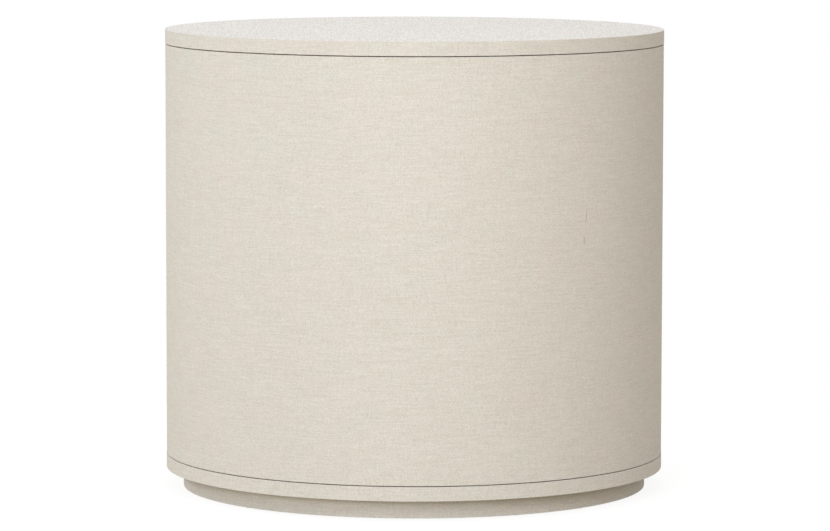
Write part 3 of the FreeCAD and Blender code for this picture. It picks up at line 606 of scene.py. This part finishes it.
def finished(node, body, material, ease=BOARD_EASE, drills=(), cloth=(), lining=None):
    """The shown piece of one of the frame's nodes, with whole faces, round holes and eased edges.
    Each pair in cloth is the height of a level face and how far the glued cloth brings it. A
    lining covers the faces that look towards the drum's axis."""
    piece = bpy.data.objects.new(node + "_finished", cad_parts[node].data.copy())
    bpy.context.scene.collection.objects.link(piece)
    start_on(piece)
    bpy.ops.object.mode_set(mode="EDIT")
    bpy.ops.mesh.select_all(action="SELECT")
    bpy.ops.mesh.customdata_custom_splitnormals_clear()
    bpy.ops.mesh.remove_doubles(threshold=WELD)
    bpy.ops.mesh.dissolve_limited(angle_limit=FLAT_WITHIN)
    for height, rise in cloth:
        bpy.ops.mesh.select_all(action="DESELECT")
        bpy.ops.object.mode_set(mode="OBJECT")
        for corner in piece.data.vertices:
            corner.select = abs(corner.co.z - height) < LEVEL_WITHIN
        bpy.ops.object.mode_set(mode="EDIT")
        bpy.ops.transform.translate(value=(0, 0, rise))
    bpy.ops.object.mode_set(mode="OBJECT")
    for tool in drills:
        cut(piece, tool)
    start_on(piece)
    bpy.ops.object.shade_smooth_by_angle(angle=SHARP)
    bevel = piece.modifiers.new("ease", "BEVEL")
    bevel.width = ease
    bevel.segments = EASE_STEPS
    bevel.limit_method = "ANGLE"
    bevel.angle_limit = SHARP
    bevel.harden_normals = True
    bpy.ops.object.modifier_apply(modifier=bevel.name)
    settle([piece], body, node, material)
    if lining:
        piece.data.materials.append(lining)
        for face in piece.data.polygons:
            inwards = -face.center.xy.normalized()
            if face.normal.xy.dot(inwards) > FACING_SHARE:
                face.material_index = 1
    return piece


linen = lacquered_linen("matt_lacquered_linen")
low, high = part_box("plinth_screws")
plinth_low, plinth_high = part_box("plinth_ring")
well = [(COUNTERBORE, -OVERRUN), (COUNTERBORE, low.z - plinth_low.z)]
tools = laid_out(drill(HOLE_FACE, HOLE_NECK, plinth_high.z - low.z, well),
                 round_the_drum(high.y - PANEL_HEAD, plinth_low.z, PLINTH_SCREW_TURNS))
finished("plinth_ring", "root", linen, drills=tools)

# Base panel: a round board as wide as the drum, wrapped like the rest, that lies on the plinth.
# Its cloth narrows the reveal under the drum to a thin shadow line.
CLOTH_THICKNESS = 0.0004

base_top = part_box("base_panel")[1].z
finished("base_panel", "root", linen, cloth=[(base_top, CLOTH_THICKNESS)])

# Carcass: ribs, posts and a shelf of board inside the rear shell, sprayed with a smooth off-white
# lacquer. They are glued and screwed, and only their inner faces and front edges show.
LACQUER_WHITE = "E2DCCF"
LACQUER_SHADE = "D8D0C0"
LACQUER_ROUGHNESS = 0.42
ORANGE_PEEL = 0.0025
PEEL_OCTAVES = 1
PEEL_STRENGTH = 0.12
PEEL_DEPTH = 0.0003

# Satin lacquer, sprayed on sanded board: smooth and softly shining, with a faint orange peel.
lacquer = bpy.data.materials.new("sprayed_satin_lacquer")
tree = empty_tree(lacquer)
inside = add(tree, "TexCoord").outputs["Object"]
peel = add(tree, "TexNoise", {"Vector": inside, "Scale": 1 / ORANGE_PEEL,
                              "Detail": PEEL_OCTAVES})
cloud = add(tree, "TexNoise", {"Vector": inside, "Scale": 1 / PATCH_SIZE,
                               "Detail": CLOUD_OCTAVES})
colour = add(tree, "Mix", {0: cloud.outputs["Fac"], 6: linear(LACQUER_WHITE),
                           7: linear(LACQUER_SHADE)}, data_type="RGBA")
skin = add(tree, "Bump", {"Height": peel.outputs["Fac"], "Strength": PEEL_STRENGTH,
                          "Distance": PEEL_DEPTH})
finish = add(tree, "BsdfPrincipled", {"Base Color": colour.outputs[2], "Normal": skin.outputs[0],
                                      "Roughness": LACQUER_ROUGHNESS})
add(tree, "OutputMaterial", {"Surface": finish.outputs[0]})

for node, screws in (("top_rib", "top_screws"), ("shelf_rib", "shelf_screws")):
    low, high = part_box(node)
    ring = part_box(screws)[1].y - PANEL_HEAD
    tools = laid_out(drill(HOLE_FACE, HOLE_NECK, high.z - low.z),
                     round_the_drum(ring, low.z, RIB_SCREW_TURNS))
    finished(node, "root", lacquer, drills=tools)
for node in ("bottom_rib", "hinge_jamb", "strike_jamb", "shelf"):
    finished(node, "root", lacquer)

# Rear shell: the fixed half of the drum, moulded from thin layers of board, wrapped in linen
# outside and lacquered inside. A rebate at its top and bottom carries the shadow lines round.
low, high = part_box("door_panel")
turned_edges = [(low.z, -CLOTH_THICKNESS), (high.z, CLOTH_THICKNESS)]
finished("rear_shell", "root", linen, cloth=turned_edges, lining=lacquer)

# Knife hinges: flat leaves of satin brass let into the boards and into the door's two edges. A pin
# riveted in each case leaf turns in the door leaf, and the lower one carries a washer.
LEAF_EASE = 0.0002
LEAF_SCREW_PLACES = (0.020, 0.044)
LEAF_HOLE_FACE = 0.00335
LEAF_HOLE_NECK = 0.00165
PIN_RADIUS = 0.00247
PIN_CHAMFER = 0.0003
FITTING_HEAD = 0.003
FITTING_SHANK = 0.0014
BRASS_BRIGHT = "CDAA66"
BRASS_DULL = "B08D4E"
BRASS_ROUGHNESS = (0.22, 0.42)
BRUSH_DRAW_SHARE = 0.06
BRUSH_STRENGTH = 0.25
BRUSH_DEPTH = 0.00003

# Satin brass, brushed in one direction and lacquered clear: fine lines and a soft golden shine.
brass = bpy.data.materials.new("satin_brass")
tree = empty_tree(brass)
inside = add(tree, "TexCoord").outputs["Object"]
clouds = add(tree, "TexNoise", {"Vector": inside, "Scale": 1 / PLATING_CLOUD,
                                "Detail": CLOUD_OCTAVES})
drawn = add(tree, "Mapping", {"Vector": inside, "Scale": (1, BRUSH_DRAW_SHARE, 1)})
lines = add(tree, "TexNoise", {"Vector": drawn.outputs[0], "Scale": 1 / BRUSH_WIDTH,
                               "Detail": FINE_OCTAVES})
colour = add(tree, "Mix", {0: clouds.outputs["Fac"], 6: linear(BRASS_BRIGHT),
                           7: linear(BRASS_DULL)}, data_type="RGBA")
shine = add(tree, "MapRange", {"Value": lines.outputs["Fac"], "To Min": BRASS_ROUGHNESS[0],
                               "To Max": BRASS_ROUGHNESS[1]})
skin = add(tree, "Bump", {"Height": lines.outputs["Fac"], "Strength": BRUSH_STRENGTH,
                          "Distance": BRUSH_DEPTH})
finish = add(tree, "BsdfPrincipled", {"Base Color": colour.outputs[2], "Normal": skin.outputs[0],
                                      "Roughness": shine.outputs[0], "Metallic": 1.0})
add(tree, "OutputMaterial", {"Surface": finish.outputs[0]})


def middle(node):
    """The middle of one of the frame's nodes."""
    low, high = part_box(node)
    return (low + high) / 2


pivot = middle("lower_pivot_pin").xy
screw_line = middle("case_leaf_screws").xy - pivot
leaf_turn = math.atan2(screw_line.y, screw_line.x)


def on_leaf(along, height, downwards):
    """A place on the line of the leaves, facing up or down."""
    place = Matrix.Translation((*pivot, height)) @ Matrix.Rotation(leaf_turn, 4, "Z")
    place = place @ Matrix.Translation((along, 0, 0))
    return place @ Matrix.Rotation(math.pi, 4, "X") if downwards else place


for node, body, face_up in (("lower_case_leaf", "root", True), ("lower_door_leaf", "door", False),
                            ("upper_case_leaf", "root", False), ("upper_door_leaf", "door", True)):
    low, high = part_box(node)
    places = [on_leaf(along, high.z if face_up else low.z, face_up) for along in LEAF_SCREW_PLACES]
    tools = laid_out(drill(LEAF_HOLE_FACE, LEAF_HOLE_NECK, high.z - low.z), places)
    finished(node, body, brass, ease=LEAF_EASE, drills=tools)


def rod(name, radius, chamfer, low_end, high_end):
    """A round rod or disc along +Z with chamfered ends."""
    return turned(name, [(radius - chamfer, low_end), (radius, low_end + chamfer),
                         (radius, high_end - chamfer), (radius - chamfer, high_end)])


for node in ("lower_pivot_pin", "upper_pivot_pin"):
    low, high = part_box(node)
    pin = rod(node + "_turned", PIN_RADIUS, PIN_CHAMFER, low.z, high.z)
    settle(laid_out(pin, [Matrix.Translation((*pivot, 0))]), "root", node, brass)

low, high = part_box("thrust_washer")
washer = rod("thrust_washer_turned", (high.x - low.x) / 2, PIN_CHAMFER, low.z, high.z)
cut(washer, turned("drill", [(PIN_RADIUS, low.z - OVERRUN), (PIN_RADIUS, high.z + OVERRUN)]))
settle(laid_out(washer, [Matrix.Translation((*pivot, 0))]), "root", "thrust_washer", brass)

low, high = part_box("case_leaf_screws")
leaf_screw_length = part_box("lower_case_leaf")[1].z - low.z
for node, body, leaves in (
        ("case_leaf_screws", "root", ((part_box("lower_case_leaf")[1].z, True),
                                      (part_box("upper_case_leaf")[0].z, False))),
        ("door_leaf_screws", "door", ((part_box("lower_door_leaf")[0].z, False),
                                      (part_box("upper_door_leaf")[1].z, True)))):
    screw = wood_screw(node.rstrip("s"), leaf_screw_length, FITTING_HEAD, FITTING_SHANK)
    places = [on_leaf(along, face, down) for face, down in leaves for along in LEAF_SCREW_PLACES]
    settle(laid_out(screw, places), body, node, steel)

# Push latch: a moulded housing screwed to the strike jamb, and in it a plunger that a steel spring
# pushes out with a small magnet at its tip. One push frees the door, another catches it.
LATCH_EASE = 0.0004
SPRING_WIRE = 0.00035
SPRING_TURNS = 8
SPRING_SIDES = 8
ROD_CHAMFER = 0.0005
NICKEL = "D6D2C9"
NICKEL_ROUGHNESS = (0.16, 0.3)

# Nickel plated magnet: ground flat, bright and slightly warm.
nickel = bpy.data.materials.new("nickel_plated_magnet")
tree = empty_tree(nickel)
inside = add(tree, "TexCoord").outputs["Object"]
lines = add(tree, "TexNoise", {"Vector": inside, "Scale": 1 / BRUSH_WIDTH,
                               "Detail": FINE_OCTAVES})
shine = add(tree, "MapRange", {"Value": lines.outputs["Fac"], "To Min": NICKEL_ROUGHNESS[0],
                               "To Max": NICKEL_ROUGHNESS[1]})
finish = add(tree, "BsdfPrincipled", {"Base Color": linear(NICKEL), "Metallic": 1.0,
                                      "Roughness": shine.outputs[0]})
add(tree, "OutputMaterial", {"Surface": finish.outputs[0]})

low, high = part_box("latch_screws")
latch_screw_places = [Matrix.Translation((low.x, (low.y + high.y) / 2, height))
                      @ Matrix.Rotation(math.pi / 2, 4, "Y")
                      for height in (low.z + FITTING_HEAD, high.z - FITTING_HEAD)]
tools = laid_out(drill(LEAF_HOLE_FACE, LEAF_HOLE_NECK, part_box("latch_housing")[1].x - low.x),
                 latch_screw_places)
finished("latch_housing", "root", plastic, ease=LATCH_EASE, drills=tools)
screw = wood_screw("latch_screw", high.x - low.x, FITTING_HEAD, FITTING_SHANK)
settle(laid_out(screw, latch_screw_places), "root", "latch_screws", steel)

backwards = Matrix.Rotation(-math.pi / 2, 4, "X")
for node, material, slot in (("latch_plunger", plastic, "plastic"),
                             ("latch_magnet", nickel, "steel")):
    low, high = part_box(node)
    part = rod(node + "_turned", (high.x - low.x) / 2, ROD_CHAMFER, 0, high.y - low.y)
    place = Matrix.Translation((middle(node).x, low.y, middle(node).z)) @ backwards
    settle(laid_out(part, [place]), "plunger", node, material)

low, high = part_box("latch_spring")
length = high.y - low.y
spring_radius = (high.x - low.x) / 2 - SPRING_WIRE
spring = wound("latch_spring_wound", SPRING_SIDES, SPRING_WIRE, spring_radius, SPRING_WIRE,
               (length - 2 * SPRING_WIRE) / SPRING_TURNS, SPRING_TURNS)
spring_end = Vector((middle("latch_spring").x, low.y, middle("latch_spring").z))
spring.data.transform(Matrix.Translation(spring_end) @ backwards)
paint(spring, steel)
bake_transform(spring)
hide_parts("latch_spring")

# Strike: a small steel plate let into the back of the door's strike stile, where the magnet of the
# latch meets it. One countersunk screw holds it.
low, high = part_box("strike_plate")
forwards = Matrix.Rotation(math.pi / 2, 4, "X")
strike_face = Matrix.Translation((middle("strike_plate").x, high.y, middle("strike_plate").z))
strike_face = strike_face @ forwards
finished("strike_plate", "door", steel, ease=LEAF_EASE,
         drills=laid_out(drill(LEAF_HOLE_FACE, LEAF_HOLE_NECK, high.y - low.y), [strike_face]))
low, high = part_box("strike_screw")
screw = wood_screw("strike_screw_turned", high.y - low.y, FITTING_HEAD, FITTING_SHANK)
settle(laid_out(screw, [strike_face]), "door", "strike_screw", steel)

# Bumpers: two soft domed discs of clear silicone, stuck on the strike jamb near its ends. The door
# lands on them.
BUMPER_CLEAR = "D9DAD8"
BUMPER_HAZE = 0.0012
BUMPER_SIDES = 32
BUMPER_DOME_SHARES = ((1, 0.5), (0.9, 0.8), (0.65, 0.97), (0.2, 1))
SILICONE_IOR = 1.41
SILICONE_ROUGHNESS = (0.2, 0.45)
SILICONE_CLEARNESS = 0.6

# Silicone, moulded clear: the jamb shows through it, softened by a slight haze.
silicone = bpy.data.materials.new("clear_silicone")
tree = empty_tree(silicone)
inside = add(tree, "TexCoord").outputs["Object"]
haze = add(tree, "TexNoise", {"Vector": inside, "Scale": 1 / BUMPER_HAZE,
                              "Detail": FINE_OCTAVES})
shine = add(tree, "MapRange", {"Value": haze.outputs["Fac"], "To Min": SILICONE_ROUGHNESS[0],
                               "To Max": SILICONE_ROUGHNESS[1]})
finish = add(tree, "BsdfPrincipled", {"Base Color": linear(BUMPER_CLEAR), "IOR": SILICONE_IOR,
                                      "Roughness": shine.outputs[0],
                                      "Transmission Weight": SILICONE_CLEARNESS})
add(tree, "OutputMaterial", {"Surface": finish.outputs[0]})

low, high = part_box("door_bumpers")
radius, thick = (high.x - low.x) / 2, high.y - low.y
dome = [(radius * out, thick * up) for out, up in BUMPER_DOME_SHARES]
bumper = turned("door_bumper", [(radius, 0), *dome], BUMPER_SIDES)
places = [Matrix.Translation(((low.x + high.x) / 2, high.y, height)) @ forwards
          for height in (low.z + radius, high.z - radius)]
settle(laid_out(bumper, places), "root", "door_bumpers", silicone)

# Seam strip: a thin strip of extruded sponge rubber, stuck on the strike jamb beside the bumpers.
# The closed door all but touches it, so that no light shows through the seam. Its grey-brown is
# painted shade, dark so that the seam reads as a shadow line like the reveals.
STRIP_WIDTH = 0.0045
STRIP_THICKNESS = 0.0017
STRIP_CLEARANCE = 0.0015
STRIP_EASE = 0.0004
STRIP_EASE_STEPS = 2
SPONGE_PAINTED_SHADE_GREY = "857B6C"
SPONGE_PAINTED_SHADE_DARK = "6E6558"
SPONGE_ROUGHNESS = 0.85
SPONGE_CELL = 0.0007
CELL_STRENGTH = 0.3
CELL_DEPTH = 0.0001

# The sponge's grey-brown colours are painted shade for the seam's shadow line.
# Sponge rubber, extruded: dull, with fine closed cells that speckle its skin.
sponge = bpy.data.materials.new("extruded_sponge_rubber")
tree = empty_tree(sponge)
inside = add(tree, "TexCoord").outputs["Object"]
cells = add(tree, "TexVoronoi", {"Vector": inside, "Scale": 1 / SPONGE_CELL})
colour = add(tree, "Mix", {0: cells.outputs["Distance"], 6: linear(SPONGE_PAINTED_SHADE_DARK),
                           7: linear(SPONGE_PAINTED_SHADE_GREY)}, data_type="RGBA")
skin = add(tree, "Bump", {"Height": cells.outputs["Distance"], "Strength": CELL_STRENGTH,
                          "Distance": CELL_DEPTH})
finish = add(tree, "BsdfPrincipled", {"Base Color": colour.outputs[2], "Normal": skin.outputs[0],
                                      "Roughness": SPONGE_ROUGHNESS})
add(tree, "OutputMaterial", {"Surface": finish.outputs[0]})

bumper_side = high.x
jamb_low, jamb_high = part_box("strike_jamb")
strip_height = jamb_high.z - jamb_low.z - 2 * STRIP_CLEARANCE
bpy.ops.object.select_all(action="DESELECT")
bpy.ops.mesh.primitive_cube_add(size=1, scale=(STRIP_WIDTH, STRIP_THICKNESS, strip_height),
                                location=(bumper_side + STRIP_CLEARANCE + STRIP_WIDTH / 2,
                                          jamb_low.y - STRIP_THICKNESS / 2,
                                          (jamb_low.z + jamb_high.z) / 2))
strip = bpy.context.object
strip.name = "seam_strip"
bpy.ops.object.transform_apply(location=True, rotation=True, scale=True)
ease = strip.modifiers.new("ease", "BEVEL")
ease.width = STRIP_EASE
ease.segments = STRIP_EASE_STEPS
bpy.ops.object.modifier_apply(modifier=ease.name)
bpy.ops.object.shade_smooth_by_angle(angle=SHARP)
paint(strip, sponge)
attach(strip, "root")

# Door: the front half of the drum, moulded like the rear shell, wrapped in linen outside and
# lacquered inside. Two ribs and two stiles hold its curve. Its cloth has two short creases,
# darkened with painted shade.
CREASES = ((0.2198, 0.3815, 0.021, 0.145), (0.2170, 0.3512, 0.016, 0.0))

creased_linen = lacquered_linen("matt_lacquered_linen_creased", CREASES)
finished("door_panel", "door", creased_linen, cloth=turned_edges, lining=lacquer)
for node in ("door_top_rib", "door_bottom_rib", "door_hinge_stile", "door_strike_stile"):
    finished(node, "door", lacquer)

# Top panel: a round board wrapped like the rest, screwed on from inside so that nothing shows.
# Its edge is crisp, with the cloth turned tightly over it.
top_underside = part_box("top_panel")[0].z
finished("top_panel", "root", linen, cloth=[(top_underside, -CLOTH_THICKNESS)])
